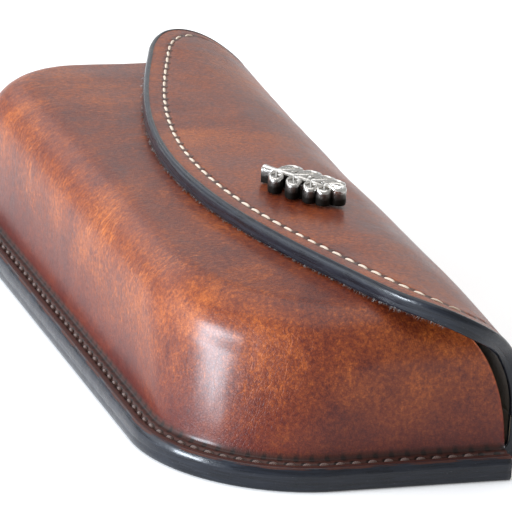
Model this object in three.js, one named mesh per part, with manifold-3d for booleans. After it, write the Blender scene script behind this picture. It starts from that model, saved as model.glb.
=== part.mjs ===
// A moulded leather eyeglasses case, lying on its flat back.
// Millimetres, +Z up, origin at the centre of the footprint on the resting face.
// +X runs along the case's length, +Y points to the mouth, which the flap closes.
import * as THREE from 'three';
import { mergeVertices } from 'three/addons/utils/BufferGeometryUtils.js';
import Module from 'manifold-3d';

const wasm = await Module();
wasm.setup();

// ---- driving dimensions ----
const LENGTH = 165;
const DEPTH = 67.6;
const CORNER_R = 29; // outer corners of the closed long side, in plan
const LEATHER = 1.8; // thickness of the outer leather
const LINING = 0.8; // thickness of the suede lining
const GAP = 0.3; // glue line between two layers
const FLANGE_W = 4.2; // stitched rim around the moulded shell
const FLANGE_T = 1.4;
const SHELL_TOP = 31.2;
const SHOULDER_R = 10; // round from the shell's side wall to its top
const WALL_DRAFT = 0.7; // how far the wall leans in below the shoulder
const TOP_CROWN = 0.6; // rise of the shell's top towards its middle
const RIM_TOP_Y = 11; // where the mouth's cut edge reaches the top
const FLAP_LIFT = 0.3; // air between the closed flap and the shell

// ---- worked out from the driving dimensions ----
const HALF_X = LENGTH / 2;
const CLOSED_Y = -DEPTH / 2;
const SPINE_Y = DEPTH / 2; // outer face of the spine
const SKIN = LEATHER + GAP + LINING; // leather, glue line and lining together
const FLANGE_Z = SKIN + GAP; // underside of the shell's flange
const FLANGE_TOP = FLANGE_Z + FLANGE_T;
const FLAP_TOP = SHELL_TOP + FLAP_LIFT + SKIN;

// ---- the leather that runs from the back round the spine to the flap ----
const BEND_R = 5; // outer radius where the back turns up
const BEND_Y = SPINE_Y - BEND_R;
const ARC_R = 24; // outer radius where the spine turns over the top
const ARC_Y = SPINE_Y - ARC_R;
const ARC_Z = FLAP_TOP - ARC_R;
const HINGE_GAP = 0.15; // half the cut between two leather sections, at rest
const SPINE_HALF_X = 72;
const WRAP_SHIFT = 3; // the spine and flap sit this far towards +X of the shell's middle

// ---- the flap's outline, in plan ----
const FLAP_HALF_X = 79.5;
const FLAP_FRONT_Y = -11; // the front edge's furthest point
const FLAP_END_Y = 10; // where the front edge, carried on, would meet the ends
const FLAP_CORNER = 0.85; // share of the half length at which the corners turn
const FLAP_WAIST_Y = 26; // the ends have drawn in to the spine's width here

// ---- thread, magnet and ornament ----
const THREAD_R = 0.4;
const GROOVE_R = 0.85;
const FLANGE_STITCH_INSET = 2.3;
const FLAP_STITCH_INSET = 4;
const FLAP_STITCH_END_Y = 20;
const CLASP_X = 22;
const CLASP_Y = 7.5;
const DISC_T = 0.8;
const KEEPER_R = 6;
const MAGNET_R = 6.5;
const MAGNET_HOLE_R = 3.6;
const POCKET_DEPTH = 0.9;
const SCREW_R = 1.1;
const SCREW_HEAD_R = 2.9;
const BOSS_R = 2;
const ORNAMENT_LENGTH = 18;
const ORNAMENT_T = 3.2;
const ORNAMENT_TURN = THREE.MathUtils.degToRad(35);

// ---- solids ----
function solid(geometry) {
  const bare = geometry.index ? geometry.toNonIndexed() : geometry.clone();
  bare.deleteAttribute('normal');
  bare.deleteAttribute('uv');
  const merged = mergeVertices(bare, 1e-4);
  return new wasm.Manifold(new wasm.Mesh({
    numProp: 3,
    vertProperties: Float32Array.from(merged.attributes.position.array),
    triVerts: Uint32Array.from(merged.index.array),
  }));
}

function geometryOf(body) {
  const mesh = body.getMesh();
  const geometry = new THREE.BufferGeometry();
  geometry.setAttribute('position', new THREE.BufferAttribute(mesh.vertProperties, 3));
  geometry.setIndex(new THREE.BufferAttribute(mesh.triVerts, 1));
  return geometry;
}

// Joins rings of equal length, lowest first, each turning anticlockwise seen from above.
function loft(rings) {
  const count = rings[0].length;
  const positions = rings.flat().flatMap((p) => [p.x, p.y, p.z]);
  const index = [];
  for (let r = 0; r + 1 < rings.length; r += 1) {
    for (let i = 0; i < count; i += 1) {
      const a = r * count + i;
      const b = r * count + ((i + 1) % count);
      index.push(a, b, b + count, a, b + count, a + count);
    }
  }
  const last = (rings.length - 1) * count;
  for (let i = 1; i + 1 < count; i += 1) {
    index.push(0, i + 1, i);
    index.push(last, last + i, last + i + 1);
  }
  const geometry = new THREE.BufferGeometry();
  geometry.setAttribute('position', new THREE.Float32BufferAttribute(positions, 3));
  geometry.setIndex(index);
  return solid(geometry);
}

// A flat outline in X and Y, raised from one height to another.
function plate(points, low, high) {
  const shape = new THREE.Shape(points);
  const geometry = new THREE.ExtrudeGeometry(shape, { depth: high - low, bevelEnabled: false });
  return solid(geometry.translate(0, 0, low));
}

// A section in Y and Z, carried along X by half a width each way from a middle.
function along(points, half, middle = 0) {
  const shape = new THREE.Shape(points);
  const geometry = new THREE.ExtrudeGeometry(shape, { depth: 2 * half, bevelEnabled: false });
  const toYZ = new THREE.Matrix4().makeBasis(
    new THREE.Vector3(0, 1, 0),
    new THREE.Vector3(0, 0, 1),
    new THREE.Vector3(1, 0, 0),
  );
  return solid(geometry.applyMatrix4(toYZ).translate(middle - half, 0, 0));
}

function disc(radius, low, high, sides = 32) {
  const geometry = new THREE.CylinderGeometry(radius, radius, high - low, sides);
  geometry.rotateX(Math.PI / 2);
  return solid(geometry.translate(CLASP_X, CLASP_Y, (low + high) / 2));
}

function cord(points, radius) {
  const section = new THREE.Shape();
  section.absarc(0, 0, radius, 0, 2 * Math.PI);
  const path = new THREE.CatmullRomCurve3(points);
  const geometry = new THREE.ExtrudeGeometry(section, {
    steps: points.length - 1,
    curveSegments: 4,
    extrudePath: path,
  });
  return solid(geometry);
}

// ---- plan outline of the back and the shell ----
// Points of the outline, drawn in by an inset, from the -X end of the mouth round to the +X end.
function outline(inset, mouthY, z = 0, steps = 9) {
  const radius = Math.max(CORNER_R - inset, 4);
  const x = HALF_X - inset;
  const y = CLOSED_Y + inset;
  const points = [new THREE.Vector3(-x, mouthY, z)];
  for (const [side, from] of [[-1, Math.PI], [1, 1.5 * Math.PI]]) {
    for (let i = 0; i <= steps; i += 1) {
      const angle = from + (i / steps) * (Math.PI / 2);
      points.push(new THREE.Vector3(
        side * (x - radius) + radius * Math.cos(angle),
        y + radius + radius * Math.sin(angle),
        z,
      ));
    }
  }
  points.push(new THREE.Vector3(x, mouthY, z));
  return points;
}

// ---- the moulded shell ----
// [inset, height] up the shell's side and over its shoulder, for a skin set in by an offset.
function shellProfile(offset, foot) {
  const radius = SHOULDER_R - offset;
  const top = SHELL_TOP - TOP_CROWN - offset;
  const wall = FLANGE_W + offset;
  const profile = foot < FLANGE_Z ? [[wall, foot], [wall, FLANGE_Z]] : [[wall, foot]];
  const steps = 7;
  for (let i = 0; i <= steps; i += 1) {
    const angle = (i / steps) * (Math.PI / 2);
    profile.push([
      wall + WALL_DRAFT + radius * (1 - Math.cos(angle)),
      top - radius + radius * Math.sin(angle),
    ]);
  }
  const shoulder = wall + WALL_DRAFT + radius;
  profile.push([shoulder + 4, top + TOP_CROWN * 0.6]);
  profile.push([shoulder + 10, top + TOP_CROWN]);
  return profile;
}

function shellBlank(offset, foot) {
  const past = SPINE_Y + 10;
  return loft(shellProfile(offset, foot).map(([inset, z]) => outline(inset, past, z)));
}

// Everything past the mouth's cut edge, a quarter ellipse seen from the end.
function pastRim() {
  const steps = 14;
  const reach = BEND_Y - RIM_TOP_Y;
  const rise = SHELL_TOP - FLANGE_Z;
  const points = [new THREE.Vector2(BEND_Y, FLANGE_Z - 5)];
  for (let i = 0; i <= steps; i += 1) {
    const angle = (i / steps) * (Math.PI / 2);
    points.push(new THREE.Vector2(
      RIM_TOP_Y + reach * Math.cos(angle),
      FLANGE_Z + rise * Math.sin(angle),
    ));
  }
  points.push(new THREE.Vector2(RIM_TOP_Y, SHELL_TOP + 5));
  points.push(new THREE.Vector2(SPINE_Y + 20, SHELL_TOP + 5));
  points.push(new THREE.Vector2(SPINE_Y + 20, FLANGE_Z - 5));
  return along(points.reverse(), HALF_X + 10);
}

function stitchRun(inset, z) {
  const steps = 16;
  const points = outline(inset, BEND_Y - 3, z, steps);
  const run = [];
  points.forEach((point, i) => {
    if (i > 0) {
      const before = points[i - 1];
      const pieces = Math.max(1, Math.round(before.distanceTo(point) / 9));
      for (let k = 1; k < pieces; k += 1) run.push(before.clone().lerp(point, k / pieces));
    }
    run.push(point);
  });
  return run;
}

const flangeRun = stitchRun(FLANGE_STITCH_INSET, FLANGE_TOP - 0.1);

function shellLeather() {
  const flange = plate(outline(0, BEND_Y), FLANGE_Z, FLANGE_TOP);
  const keeperPocket = disc(KEEPER_R + GAP, 0, SHELL_TOP - LEATHER + POCKET_DEPTH);
  return shellBlank(0, FLANGE_Z)
    .add(flange)
    .subtract(shellBlank(LEATHER, FLANGE_Z - 4))
    .subtract(pastRim())
    .subtract(keeperPocket)
    .subtract(cord(flangeRun, GROOVE_R));
}

function shellLining() {
  return shellBlank(LEATHER + GAP, FLANGE_Z)
    .subtract(shellBlank(SKIN, FLANGE_Z - 4))
    .subtract(pastRim());
}

// ---- the section of the wrapped leather ----
// A point on the section, set in by an offset, at an angle on one of its two bends.
function onArc(offset, angle) {
  const radius = ARC_R - offset;
  return new THREE.Vector2(ARC_Y + radius * Math.cos(angle), ARC_Z + radius * Math.sin(angle));
}

function onBend(offset, angle) {
  const radius = BEND_R - offset;
  return new THREE.Vector2(BEND_Y + radius * Math.cos(angle), BEND_R + radius * Math.sin(angle));
}

function sweep(place, offset, from, to, steps) {
  const points = [];
  for (let i = 0; i <= steps; i += 1) {
    points.push(place(offset, from + (i / steps) * (to - from)));
  }
  return points;
}

const MIDDLE = Math.PI / 4; // both hinge lines lie half way round their bend
const arcCut = MIDDLE - HINGE_GAP / ARC_R;
const bendCut = MIDDLE - HINGE_GAP / BEND_R;

// The back's share of the bottom bend, reaching back into the flat panel.
function backBend(outer, inner) {
  const points = [new THREE.Vector2(BEND_Y - 6, outer)];
  points.push(...sweep(onBend, outer, -Math.PI / 2, -MIDDLE - HINGE_GAP / BEND_R, 4));
  points.push(...sweep(onBend, inner, -MIDDLE - HINGE_GAP / BEND_R, -Math.PI / 2, 4));
  points.push(new THREE.Vector2(BEND_Y - 6, inner));
  return along(points, SPINE_HALF_X, WRAP_SHIFT);
}

function backSheet(outer, inner) {
  return plate(outline(0, BEND_Y), outer, inner).add(backBend(outer, inner));
}

function spineSheet(outer, inner) {
  const points = [
    ...sweep(onBend, outer, -bendCut, 0, 4),
    ...sweep(onArc, outer, 0, arcCut, 6),
    ...sweep(onArc, inner, arcCut, 0, 6),
    ...sweep(onBend, inner, 0, -bendCut, 4),
  ];
  return along(points, SPINE_HALF_X, WRAP_SHIFT);
}

// ---- the flap ----
// The front edge bows forward in the middle; past the corners the ends run back to the waist.
function flapFrontY(x) {
  const share = Math.min(Math.abs(x) / FLAP_HALF_X, 1);
  return FLAP_FRONT_Y + (FLAP_END_Y - FLAP_FRONT_Y) * (1.25 * share ** 2 - 0.25 * share ** 4);
}

// Half the flap's outline, from the middle of the front edge to the hinge line.
function flapHalf() {
  const cornerX = FLAP_HALF_X * FLAP_CORNER;
  const points = [];
  const steps = 16;
  for (let i = 0; i <= steps; i += 1) {
    const x = (i / steps) * cornerX;
    points.push(new THREE.Vector2(x, flapFrontY(x)));
  }
  const start = points[points.length - 1];
  const corner = new THREE.QuadraticBezierCurve(
    start,
    new THREE.Vector2(FLAP_HALF_X, FLAP_END_Y),
    new THREE.Vector2(FLAP_HALF_X, FLAP_END_Y + 7),
  );
  points.push(...corner.getPoints(8).slice(1));
  const end = points[points.length - 1];
  const waist = new THREE.CubicBezierCurve(
    end,
    new THREE.Vector2(FLAP_HALF_X, end.y + 3),
    new THREE.Vector2(SPINE_HALF_X, FLAP_WAIST_Y - 4),
    new THREE.Vector2(SPINE_HALF_X, FLAP_WAIST_Y),
  );
  points.push(...waist.getPoints(6).slice(1));
  return points;
}

function flapOutline() {
  const right = flapHalf();
  const left = right.slice(1).map((p) => new THREE.Vector2(-p.x, p.y)).reverse();
  const back = SPINE_Y + 5;
  const points = [
    new THREE.Vector2(-SPINE_HALF_X, back),
    ...left,
    ...right,
    new THREE.Vector2(SPINE_HALF_X, back),
  ];
  points.forEach((p) => p.setX(p.x + WRAP_SHIFT));
  return points;
}

function flapSheet(outer, inner) {
  const front = FLAP_FRONT_Y - 10;
  const from = MIDDLE + HINGE_GAP / ARC_R;
  const points = [
    ...sweep(onArc, outer, from, Math.PI / 2, 6),
    new THREE.Vector2(front, FLAP_TOP - outer),
    new THREE.Vector2(front, FLAP_TOP - inner),
    ...sweep(onArc, inner, Math.PI / 2, from, 6),
  ];
  return along(points, FLAP_HALF_X + 10).intersect(plate(flapOutline(), -10, FLAP_TOP + 10));
}

// Height of the flap's outer face over a point in plan.
function flapHeight(y) {
  if (y <= ARC_Y) return FLAP_TOP;
  return ARC_Z + Math.sqrt(ARC_R ** 2 - (y - ARC_Y) ** 2);
}

// The stitch line follows the flap's edge at a fixed distance, up to just short of the spine.
function flapStitchRun() {
  const edge = flapHalf().filter((p) => p.y < FLAP_STITCH_END_Y);
  const right = [];
  for (let i = 1; i + 1 < edge.length; i += 1) {
    const heading = edge[i + 1].clone().sub(edge[i - 1]).normalize();
    const x = edge[i].x - heading.y * FLAP_STITCH_INSET;
    const y = edge[i].y + heading.x * FLAP_STITCH_INSET;
    const last = right[right.length - 1];
    const far = !last || Math.hypot(last.x - x, last.y - y) > 2;
    if (far) right.push(new THREE.Vector3(x, y, flapHeight(y) - 0.1));
  }
  const left = right.map((p) => new THREE.Vector3(-p.x, p.y, p.z)).reverse();
  const middleY = FLAP_FRONT_Y + FLAP_STITCH_INSET;
  const run = [...left, new THREE.Vector3(0, middleY, flapHeight(middleY) - 0.1), ...right];
  run.forEach((p) => p.setX(p.x + WRAP_SHIFT));
  return run;
}

const flapRun = flapStitchRun();

function flapLeather() {
  const pocketTop = FLAP_TOP - LEATHER + POCKET_DEPTH;
  return flapSheet(0, LEATHER)
    .subtract(disc(MAGNET_R + GAP, 0, pocketTop))
    .subtract(disc(BOSS_R + GAP, 0, FLAP_TOP + 5))
    .subtract(cord(flapRun, GROOVE_R));
}

// ---- magnet, keeper and ornament ----
const keeperTop = SHELL_TOP - LEATHER + POCKET_DEPTH - GAP;
const magnetTop = FLAP_TOP - LEATHER + POCKET_DEPTH - GAP;

function flapMagnet() {
  return disc(MAGNET_R, magnetTop - DISC_T, magnetTop)
    .subtract(disc(MAGNET_HOLE_R, magnetTop - 5, magnetTop + 5));
}

function ornamentScrew() {
  const headTop = magnetTop;
  return disc(SCREW_HEAD_R, headTop - DISC_T, headTop, 24)
    .add(disc(SCREW_R, headTop - DISC_T / 2, FLAP_TOP + GAP + ORNAMENT_T / 2, 12));
}

function leaf(length, width) {
  const shape = new THREE.Shape();
  shape.moveTo(0, 0);
  shape.quadraticCurveTo(length * 0.45, width * 0.75, length, 0);
  shape.quadraticCurveTo(length * 0.45, -width * 0.75, 0, 0);
  return shape;
}

// A sprig of leaves on a stem, with a round boss behind it that takes the screw.
function ornament() {
  const low = FLAP_TOP + GAP;
  const place = new THREE.Matrix4().makeTranslation(CLASP_X, CLASP_Y, low);
  place.multiply(new THREE.Matrix4().makeRotationZ(ORNAMENT_TURN));
  const extrude = { depth: ORNAMENT_T, bevelEnabled: false, curveSegments: 6 };
  const stem = new THREE.BoxGeometry(ORNAMENT_LENGTH * 0.8, 1.4, ORNAMENT_T);
  stem.translate(-ORNAMENT_LENGTH * 0.08, 0, ORNAMENT_T / 2);
  let body = solid(stem.applyMatrix4(place));
  const leaves = [[0.3, 0, 4, 2.8]];
  for (const at of [-0.34, -0.12, 0.1, 0.28]) {
    leaves.push([at, 0.95, 5.2, 2.9], [at, -0.95, 5.2, 2.9]);
  }
  for (const [at, turn, length, width] of leaves) {
    const geometry = new THREE.ExtrudeGeometry(leaf(length, width), extrude);
    geometry.rotateZ(turn);
    geometry.translate(at * ORNAMENT_LENGTH, 0, 0);
    body = body.add(solid(geometry.applyMatrix4(place)));
  }
  const bossLow = magnetTop + GAP + 0.3;
  return body
    .add(disc(2.9, low, low + ORNAMENT_T * 0.7, 24))
    .add(disc(BOSS_R, bossLow, low + 1, 24))
    .subtract(disc(SCREW_R + GAP, bossLow - 5, FLAP_TOP + 2 * GAP + ORNAMENT_T / 2, 12));
}

// ---- materials and scene graph ----
function finish(color, roughness, metalness = 0) {
  return new THREE.MeshStandardMaterial({ color, roughness, metalness });
}

const brownLeather = finish(0x8f4f2c, 0.45);
const oliveSuede = finish(0x5a4630, 0.95);
const darkThread = finish(0x5c3a28, 0.8);
const creamThread = finish(0xe6cdb4, 0.8);
const agedSilver = finish(0x9a9a9c, 0.35, 1);
const steel = finish(0xb4b6b8, 0.4, 1);

function node(name, body, material) {
  const mesh = new THREE.Mesh(geometryOf(body), material);
  mesh.name = name;
  return mesh;
}

const base = new THREE.Group();
base.add(
  node('back_leather', backSheet(0, LEATHER), brownLeather),
  node('back_lining', backSheet(LEATHER + GAP, SKIN), oliveSuede),
  node('shell_leather', shellLeather(), brownLeather),
  node('shell_lining', shellLining(), oliveSuede),
  node('flange_thread', cord(flangeRun, THREAD_R), darkThread),
  node('shell_keeper_disc', disc(KEEPER_R, keeperTop - DISC_T, keeperTop), steel),
);

const spine = new THREE.Group();
spine.add(
  node('spine_leather', spineSheet(0, LEATHER), brownLeather),
  node('spine_lining', spineSheet(LEATHER + GAP, SKIN), oliveSuede),
);

const flap = new THREE.Group();
flap.add(
  node('flap_leather', flapLeather(), brownLeather),
  node('flap_lining', flapSheet(LEATHER + GAP, SKIN), oliveSuede),
  node('flap_thread', cord(flapRun, THREAD_R), creamThread),
  node('flap_magnet_ring', flapMagnet(), steel),
  node('ornament_screw', ornamentScrew(), steel),
  node('ornament', ornament(), agedSilver),
);

const eyeglassesCase = new THREE.Group();
eyeglassesCase.add(base, spine, flap);

export default eyeglassesCase;
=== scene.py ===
"""A moulded leather eyeglasses case with a stitched flap and a metal sprig, on a pale floor."""

import math

import bpy
import numpy as np
from mathutils import Euler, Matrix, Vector

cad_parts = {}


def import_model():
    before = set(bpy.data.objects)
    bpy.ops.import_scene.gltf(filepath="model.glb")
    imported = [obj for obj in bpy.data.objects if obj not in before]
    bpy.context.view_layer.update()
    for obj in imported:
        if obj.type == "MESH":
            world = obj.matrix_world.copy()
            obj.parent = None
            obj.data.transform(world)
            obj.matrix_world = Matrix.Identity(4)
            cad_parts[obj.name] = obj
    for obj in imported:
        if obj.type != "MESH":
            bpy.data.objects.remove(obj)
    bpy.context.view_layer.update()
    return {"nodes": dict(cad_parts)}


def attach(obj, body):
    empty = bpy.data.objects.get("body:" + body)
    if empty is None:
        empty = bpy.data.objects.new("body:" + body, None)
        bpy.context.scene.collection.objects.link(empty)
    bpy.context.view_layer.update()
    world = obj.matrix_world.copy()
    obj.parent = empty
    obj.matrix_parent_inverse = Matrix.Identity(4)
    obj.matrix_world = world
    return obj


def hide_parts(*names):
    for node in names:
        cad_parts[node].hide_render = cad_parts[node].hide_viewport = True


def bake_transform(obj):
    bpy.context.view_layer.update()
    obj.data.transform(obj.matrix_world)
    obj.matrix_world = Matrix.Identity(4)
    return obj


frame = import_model()

# ---- sizes in millimetres, as in the CAD model ----
HALF_X = 82.5
CLOSED_Y = -33.8
SPINE_Y = 33.8
CORNER_R = 29.0
LEATHER = 1.8
SKIN = 2.9  # leather, glue line and lining together
FLANGE_W = 4.2
FLANGE_Z = 3.2
FLANGE_TOP = 4.6
SHELL_TOP = 31.2
SHOULDER_R = 10.0
WALL_DRAFT = 0.7
TOP_CROWN = 0.6
CORNER_EASE = 11.5  # how much the +X corner's plan radius has grown at the shoulder
RIM_TOP_Y = 11.0
BEND_R = 5.0
BEND_Y = SPINE_Y - BEND_R
ARC_R = 24.0
ARC_Y = SPINE_Y - ARC_R
FLAP_TOP = 34.4
ARC_Z = FLAP_TOP - ARC_R
SPINE_HALF_X = 72.0
WRAP_SHIFT = 3.0  # the spine and flap sit this far towards +X of the shell's middle
FLAP_HALF_X = 79.5
FLAP_FRONT_Y = -11.0
FLAP_END_Y = 10.0
FLAP_CORNER = 0.755
FLANGE_STITCH_INSET = 2.3
FLAP_STITCH_INSET = 4.0
FLAP_STITCH_END_Y = 20.0
CLASP = (22.0, 7.5)
FIBRES = 1500  # loose suede fibres under the flap's edge
FIBRE_END_Y = 16.0  # they stop here, before the spine
KEEPER_R = 6.0
KEEPER_BACK = 3.0  # the disc sits this far behind the clasp's middle, covered by the rim's square cut
KEEPER_LOW = 29.2
KEEPER_HIGH = 30.0
ORNAMENT_LENGTH = 18.0
ORNAMENT_T = 3.2
ORNAMENT_TURN = math.radians(35)

# ---- the leather's unrolled length, from the start of the bottom bend ----
BEND_RUN = BEND_R * math.pi / 2
WALL_RUN = BEND_RUN + ARC_Z - BEND_R
ARC_RUN = WALL_RUN + ARC_R * math.pi / 2
SEAM_RUN = BEND_RUN + 4.6  # where the lower and the upper pieces meet, clear of the lower hinge's bend
SAG = 1.6  # how far the flap's end at +X droops over the shoulder
SAG_RUN = WALL_RUN + ARC_R
SPRING = 1.7  # how far the flap's end at -X stands up
FLANGE_PITCH = 3.05
FLAP_PITCH = 3.65
MM = 0.001


# ---- mesh helpers ----
def new_object(name, verts, faces, smooth=True):
    mesh = bpy.data.meshes.new(name)
    mesh.from_pydata((np.asarray(verts, float) * MM).tolist(), [], faces)
    mesh.validate()
    mesh.polygons.foreach_set("use_smooth", [smooth] * len(mesh.polygons))
    obj = bpy.data.objects.new(name, mesh)
    bpy.context.scene.collection.objects.link(obj)
    return obj


def give_vectors(obj, name, values):
    """Stores one vector per point, which the materials read by name."""
    attribute = obj.data.attributes.new(name, "FLOAT_VECTOR", "POINT")
    attribute.data.foreach_set("vector", np.asarray(values, np.float32).ravel())


def give_numbers(obj, name, values):
    attribute = obj.data.attributes.new(name, "FLOAT", "POINT")
    attribute.data.foreach_set("value", np.asarray(values, np.float32).ravel())


def grid_faces(rows, cols, start=0, flip=False):
    faces = []
    for r in range(rows - 1):
        for c in range(cols - 1):
            a = start + r * cols + c
            face = (a, a + 1, a + cols + 1, a + cols)
            faces.append(face[::-1] if flip else face)
    return faces


def closed_band(profile_count, run_count):
    """Faces of a closed section carried along an open run, with capped ends."""
    faces = []
    for i in range(run_count - 1):
        for k in range(profile_count):
            a = i * profile_count + k
            b = i * profile_count + (k + 1) % profile_count
            faces.append((a, b, b + profile_count, a + profile_count))
    faces.append(tuple(range(profile_count))[::-1])
    last = (run_count - 1) * profile_count
    faces.append(tuple(last + k for k in range(profile_count)))
    return faces


def thick_sheet(name, outer, inner, flip=False):
    """A closed solid between two matching grids of points."""
    rows, cols = outer.shape[:2]
    count = rows * cols
    verts = np.vstack([outer.reshape(-1, 3), inner.reshape(-1, 3)])
    faces = grid_faces(rows, cols, 0, flip)
    faces += grid_faces(rows, cols, count, not flip)
    loop = [r * cols for r in range(rows)]
    loop += [(rows - 1) * cols + c for c in range(1, cols)]
    loop += [r * cols + cols - 1 for r in range(rows - 2, -1, -1)]
    loop += list(range(cols - 2, 0, -1))
    for a, b in zip(loop, loop[1:] + loop[:1]):
        face = (a, b, b + count, a + count)
        faces.append(face if flip else face[::-1])
    return new_object(name, verts, faces)


def resample(points, step):
    """Points at even spacing along a polyline, and their distances along it."""
    points = np.asarray(points, float)
    lengths = np.linalg.norm(np.diff(points, axis=0), axis=1)
    at = np.concatenate([[0], np.cumsum(lengths)])
    count = max(2, int(round(at[-1] / step)) + 1)
    marks = np.linspace(0, at[-1], count)
    out = np.stack([np.interp(marks, at, points[:, k]) for k in range(points.shape[1])], 1)
    return out, marks


def smooth_noise(points, size, seed):
    """A soft random height for each point, from a few crossed waves."""
    rng = np.random.default_rng(seed)
    total = np.zeros(len(points))
    for _ in range(9):
        way = rng.normal(size=3)
        way *= rng.uniform(0.6, 1.5) / np.linalg.norm(way) * 2 * math.pi / size
        total += np.sin(points @ way + rng.uniform(0, 2 * math.pi))
    return total / 3


# ---- the moulded shell ----
def rim_y(z):
    """How far along Y the shell's wall reaches at a height: a quarter ellipse."""
    share = np.clip((np.asarray(z, float) - FLANGE_Z) / (SHELL_TOP - TOP_CROWN - FLANGE_Z), 0, 1)
    return RIM_TOP_Y + (BEND_Y - RIM_TOP_Y) * np.sqrt(1 - share**2)


def plan_loop(inset, mouth_y, ease=0.0, ends=34, corner=54, middle=110):
    """The plan outline drawn in by an inset, from the -X mouth corner round to the +X one."""
    x, y = HALF_X - inset, CLOSED_Y + inset
    room = mouth_y - CLOSED_Y - inset
    far, near = (min(max(CORNER_R - inset + grow, 4.0), room) for grow in (-0.4 * ease, ease))
    turn = np.linspace(math.pi, 1.5 * math.pi, corner)
    round_far = np.stack([far - x + far * np.cos(turn), y + far + far * np.sin(turn)], 1)
    round_near = np.stack([x - near - near * np.cos(turn), y + near + near * np.sin(turn)], 1)
    left = np.linspace(mouth_y, y + far, ends, endpoint=False)
    right = np.linspace(mouth_y, y + near, ends, endpoint=False)[::-1]
    front = np.linspace(far - x, x - near, middle + 2)[1:-1]
    return np.vstack([
        np.column_stack([np.full(ends, -x), left]),
        round_far,
        np.column_stack([front, np.full(middle, y)]),
        round_near[::-1],
        np.column_stack([np.full(ends, x), right]),
    ])


def run_marks(loop):
    return np.concatenate([[0], np.cumsum(np.linalg.norm(np.diff(loop, axis=0), axis=1))])


def shell_profile(offset):
    """Rows of [inset, height, height of the leather's face there], from the flange to the top."""
    rows = []
    if offset == 0:
        lip = np.array([0.25, 0.35, 0.6, 0.9, 1.2, 1.5, 1.7, 1.9, 2.1, 2.3, 2.5, 2.7, 2.9, 3.1, 3.4, 3.7])
        drop = np.interp(lip, [0.25, 0.35, 0.6, 0.9], [0.55, 0.28, 0.08, 0.0])
        groove = 0.42 * np.exp(-(((lip - FLANGE_STITCH_INSET) / 0.42) ** 2))
        rows += [[a, FLANGE_TOP - d - g, FLANGE_TOP] for a, d, g in zip(lip, drop, groove)]
        rows.append([FLANGE_W - 0.25, FLANGE_TOP + 0.12, FLANGE_TOP])
        rows.append([FLANGE_W - 0.02, FLANGE_TOP + 0.5, FLANGE_TOP])
    radius = SHOULDER_R - offset
    top = SHELL_TOP - TOP_CROWN
    shoulder_z = top - SHOULDER_R
    wall = FLANGE_W + offset
    foot = FLANGE_TOP + 1.1 if offset == 0 else FLANGE_Z + 0.1
    lean = WALL_DRAFT / (shoulder_z - FLANGE_Z)
    for z in np.linspace(foot, shoulder_z, 12, endpoint=False):
        rows.append([wall + lean * (z - FLANGE_Z), z, z])
    for angle in np.linspace(0, math.pi / 2, 16):
        inset = wall + WALL_DRAFT + radius * (1 - math.cos(angle))
        face = shoulder_z + SHOULDER_R * math.sin(angle)
        rows.append([inset, shoulder_z + radius * math.sin(angle), face])
    shoulder = wall + WALL_DRAFT + radius
    reach = RIM_TOP_Y - CLOSED_Y - 0.02
    for inset in np.linspace(shoulder, reach, 20)[1:]:
        rise = min(1, (inset - shoulder) / 10)
        rows.append([inset, top - offset + TOP_CROWN * math.sin(rise * math.pi / 2), SHELL_TOP])
    return np.array(rows)


def shell_grid(offset):
    """The moulded skin as rows of points; its +X corner leans in as it rises."""
    rings = []
    for inset, z, face in shell_profile(offset):
        ease = CORNER_EASE * min(max((face - 5) / 18, 0), 1) ** 1.25
        loop = plan_loop(inset, float(rim_y(face)), ease)
        rings.append(np.column_stack([loop, np.full(len(loop), z)]))
    return np.array(rings)


def grid_normals(grid):
    down = np.gradient(grid, axis=0)
    across = np.gradient(grid, axis=1)
    normal = np.cross(across, down)
    length = np.linalg.norm(normal, axis=2, keepdims=True)
    return normal / np.maximum(length, 1e-9)


def shell_forms(grid):
    """Leather relief: soft swells, and gathers that fan out round the moulded corners."""
    flat = grid.reshape(-1, 3)
    centre = np.stack([np.clip(flat[:, 0], -53.5, 53.5), np.clip(flat[:, 1], -4.8, None)], 1)
    away = flat[:, :2] - centre
    angle = np.arctan2(away[:, 1], np.abs(away[:, 0]))
    high = np.clip((flat[:, 2] - FLANGE_TOP) / 6, 0, 1)
    swell = 0.1 * smooth_noise(flat, 24, 4) * high
    corner = np.exp(-(((angle + math.pi / 4) / 0.42) ** 2)) * (np.linalg.norm(away, axis=1) > 6)
    ripple = np.sin(angle * 34 + 1.6 * smooth_noise(flat, 16, 7)) * smooth_noise(flat, 9, 5)
    gathers = 0.02 * corner * high * ripple
    return (swell + gathers).reshape(grid.shape[:2])


# ---- the leather that wraps from the back round the spine to the flap ----
def stand_off(x, run):
    """How far the springy flap stands off its even round: down at +X, up at -X."""
    near = np.clip((x - 42) / 37.5, 0, 1) ** 1.6
    droop = np.exp(-(((run - SAG_RUN) / 14) ** 2))
    far = np.clip((-x - 5) / 70, 0, 1) ** 1.4
    rise = np.clip((run - WALL_RUN) / (0.8 * ARC_R), 0, 1) ** 1.5
    return SPRING * far * rise - SAG * near * droop


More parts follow.
